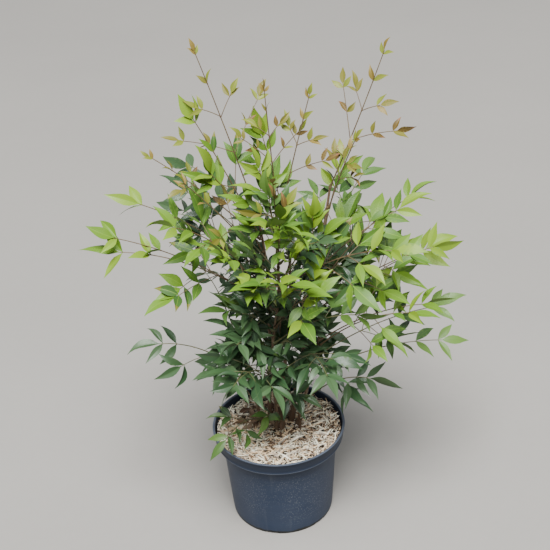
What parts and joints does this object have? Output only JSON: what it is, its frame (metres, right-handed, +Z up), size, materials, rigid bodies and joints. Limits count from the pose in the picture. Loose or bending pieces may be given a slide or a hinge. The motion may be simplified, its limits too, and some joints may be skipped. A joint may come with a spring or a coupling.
{
  "type": "potted heavenly bamboo",
  "caption": "Young heavenly bamboo shrub with slender canes and open sprays of pointed leaflets, growing in a round plastic nursery pot topped with wood chips.",
  "frame": {"origin": "middle of the pot's flat underside, on the floor", "axes": "+Z up, -Y towards the plant's front, +X to the front view's right"},
  "size_m": [0.6035, 0.4453, 0.8594],
  "materials": {
    "pot_plastic": "matte",
    "wood_chips": "rough",
    "cane_bark": "rough",
    "leaves": "satin"
  },
  "bodies": {
    "root": {"cane_back": "cane_bark", "cane_centre": "cane_bark", "cane_front": "cane_bark", "cane_left": "cane_bark", "cane_low_left": "cane_bark", "cane_low_right": "cane_bark", "cane_right": "cane_bark", "chip_fill": "wood_chips", "pot": "pot_plastic", "spray_arm_left": "leaves", "spray_arm_right": "leaves", "spray_back_1": "leaves", "spray_back_2": "leaves", "spray_back_3": "leaves", "spray_back_4": "leaves", "spray_bronze_left": "leaves", "spray_bronze_right": "leaves", "spray_centre_1": "leaves", "spray_centre_2": "leaves", "spray_centre_3": "leaves", "spray_front_1": "leaves", "spray_front_2": "leaves", "spray_front_high": "leaves", "spray_front_left": "leaves", "spray_front_mid_right": "leaves", "spray_front_middle": "leaves", "spray_front_right": "leaves", "spray_high_back": "leaves", "spray_high_left": "leaves", "spray_high_right": "leaves", "spray_left_1": "leaves", "spray_left_2": "leaves", "spray_left_3": "leaves", "spray_low_arm_left": "leaves", "spray_low_arm_right": "leaves", "spray_low_centre": "leaves", "spray_low_centre_right": "leaves", "spray_low_front_left": "leaves", "spray_low_front_right": "leaves", "spray_low_left_1": "leaves", "spray_low_right_1": "leaves", "spray_over_rim": "leaves", "spray_right_1": "leaves", "spray_right_2": "leaves", "spray_right_yellow": "leaves", "spray_tall_left": "leaves", "spray_tall_mid_right": "leaves", "spray_tall_middle": "leaves", "spray_tall_right": "leaves", "spray_upper_left": "leaves", "spray_upper_right": "leaves"}
  },
  "joints": []
}
